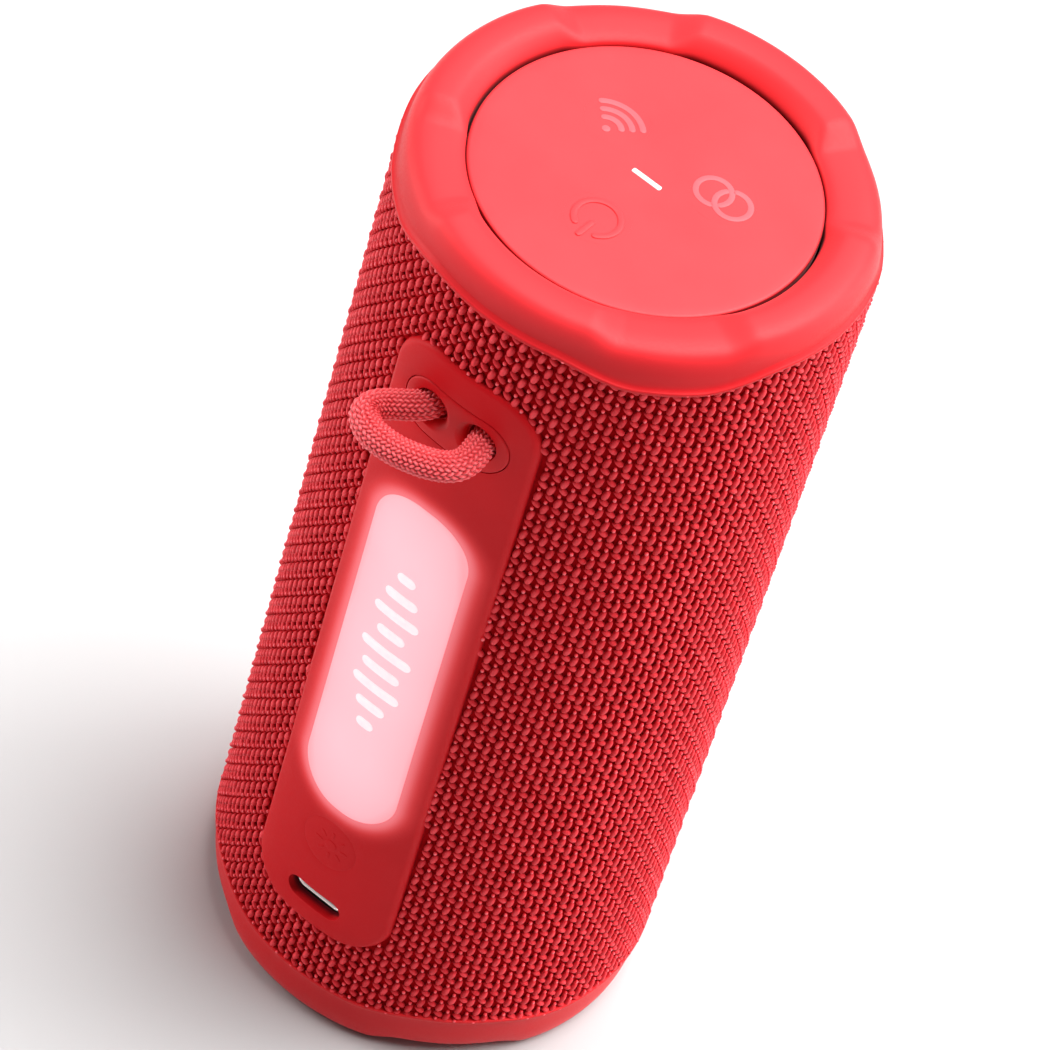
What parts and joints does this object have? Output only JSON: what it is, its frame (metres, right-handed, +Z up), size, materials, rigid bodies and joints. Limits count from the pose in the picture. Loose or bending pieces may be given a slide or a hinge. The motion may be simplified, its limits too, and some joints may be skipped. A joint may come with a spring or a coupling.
{
  "type": "portable party speaker",
  "caption": "Small upright cylinder loudspeaker with rubber end rings, a knitted sleeve, a rear light panel, press keys, a charging socket and a lanyard loop.",
  "frame": {"origin": "centre of the base, on the plane that the lower ring's lobes stand on", "axes": "+Z up along the cylinder's axis; the rear panel with the lanyard and the charging socket faces -Y and the driver faces +Y"},
  "size_m": [0.0698, 0.0809, 0.165],
  "materials": {
    "end_rubber": "soft matt moulded rubber with a slight sheen",
    "knitted_fabric": "coarse raised knit, two tones of red",
    "panel_silicone": "smooth satin silicone",
    "disc_silicone": "smooth matt silicone",
    "front_key_silicone": "satin silicone",
    "light_diffuser": "translucent diffuser, lit from behind",
    "status_diffuser": "clear light pipe, lit from below",
    "lanyard_cord": "braided cord",
    "socket_steel": "bright drawn steel",
    "housing_plastic": "moulded black plastic",
    "seal_rubber": "black rubber",
    "cone_paper": "coated pulp",
    "spider_cloth": "resin-stiffened cloth",
    "radiator_plastic": "moulded black plastic",
    "coil_metal": "enamelled copper wire",
    "plain_steel": "plated steel",
    "magnet_grey": "ferrite",
    "circuit_board": "green solder mask",
    "chip_black": "moulded resin",
    "lamp_white": "lamp resin",
    "cell_sleeve": "shrink sleeve",
    "wire_red": "wire insulation",
    "wire_black": "wire insulation"
  },
  "bodies": {
    "body": {"amplifier_chip": "chip_black", "baffle_screw_1": "plain_steel", "baffle_screw_2": "plain_steel", "baffle_screw_3": "plain_steel", "baffle_screw_4": "plain_steel", "battery_bracket_lower": "housing_plastic", "battery_bracket_upper": "housing_plastic", "battery_cell": "cell_sleeve", "battery_lead": "wire_red", "bottom_bulkhead": "housing_plastic", "bottom_ring": "end_rubber", "bottom_seal": "seal_rubber", "control_disc": "disc_silicone", "driver_basket": "housing_plastic", "driver_gasket": "seal_rubber", "driver_magnet": "magnet_grey", "driver_spider": "spider_cloth", "driver_surround": "seal_rubber", "driver_top_plate": "plain_steel", "driver_yoke": "plain_steel", "fabric_sleeve": "knitted_fabric", "front_baffle": "housing_plastic", "front_grille": "housing_plastic", "front_key_board": "circuit_board", "front_key_bracket": "housing_plastic", "key_board": "circuit_board", "lanyard_bracket": "housing_plastic", "lanyard_loop": "lanyard_cord", "lanyard_plate": "panel_silicone", "light_board": "circuit_board", "light_led_bar": "lamp_white", "light_window": "light_diffuser", "main_board": "circuit_board", "processor_can": "plain_steel", "radiator_frame": "housing_plastic", "radiator_surround": "seal_rubber", "rear_housing": "housing_plastic", "rear_panel": "panel_silicone", "speaker_lead": "wire_black", "status_light": "status_diffuser", "top_bulkhead": "housing_plastic", "top_cap": "housing_plastic", "top_ring": "end_rubber", "top_seal": "seal_rubber", "usb_board": "circuit_board", "usb_shell": "socket_steel", "usb_tongue": "housing_plastic"},
    "power_key": {"power_key": "disc_silicone"},
    "pairing_key": {"pairing_key": "disc_silicone"},
    "link_key": {"link_key": "disc_silicone"},
    "light_key": {"light_key": "panel_silicone"},
    "play_key": {"play_key": "front_key_silicone"},
    "volume_up_key": {"volume_up_key": "front_key_silicone"},
    "volume_down_key": {"volume_down_key": "front_key_silicone"},
    "cone": {"driver_cone": "cone_paper", "dust_cap": "cone_paper", "voice_coil": "coil_metal"},
    "radiator": {"radiator_diaphragm": "radiator_plastic", "radiator_weight": "plain_steel"}
  },
  "joints": [
    {"name": "power_press", "type": "slide", "parent": "body", "child": "power_key", "axis": [0, 0, -1], "range_m": [0, 0.0004], "stiffness_N_per_m": 1500, "springref_m": -0.0003},
    {"name": "pairing_press", "type": "slide", "parent": "body", "child": "pairing_key", "axis": [0, 0, -1], "range_m": [0, 0.0004], "stiffness_N_per_m": 1500, "springref_m": -0.0003},
    {"name": "link_press", "type": "slide", "parent": "body", "child": "link_key", "axis": [0, 0, -1], "range_m": [0, 0.0004], "stiffness_N_per_m": 1500, "springref_m": -0.0003},
    {"name": "light_press", "type": "slide", "parent": "body", "child": "light_key", "axis": [0, 1, 0], "range_m": [0, 0.0004], "stiffness_N_per_m": 1500, "springref_m": -0.0003},
    {"name": "play_press", "type": "slide", "parent": "body", "child": "play_key", "axis": [0, -1, 0], "range_m": [0, 0.0004], "stiffness_N_per_m": 1500, "springref_m": -0.0003},
    {"name": "volume_up_press", "type": "slide", "parent": "body", "child": "volume_up_key", "axis": [0, -1, 0], "range_m": [0, 0.0004], "stiffness_N_per_m": 1500, "springref_m": -0.0003},
    {"name": "volume_down_press", "type": "slide", "parent": "body", "child": "volume_down_key", "axis": [0, -1, 0], "range_m": [0, 0.0004], "stiffness_N_per_m": 1500, "springref_m": -0.0003},
    {"name": "cone_stroke", "type": "slide", "parent": "body", "child": "cone", "axis": [0, 1, 0], "range_m": [-0.0025, 0.0025], "stiffness_N_per_m": 1200},
    {"name": "radiator_stroke", "type": "slide", "parent": "body", "child": "radiator", "axis": [0, 0, 1], "range_m": [-0.003, 0.002], "stiffness_N_per_m": 900}
  ]
}
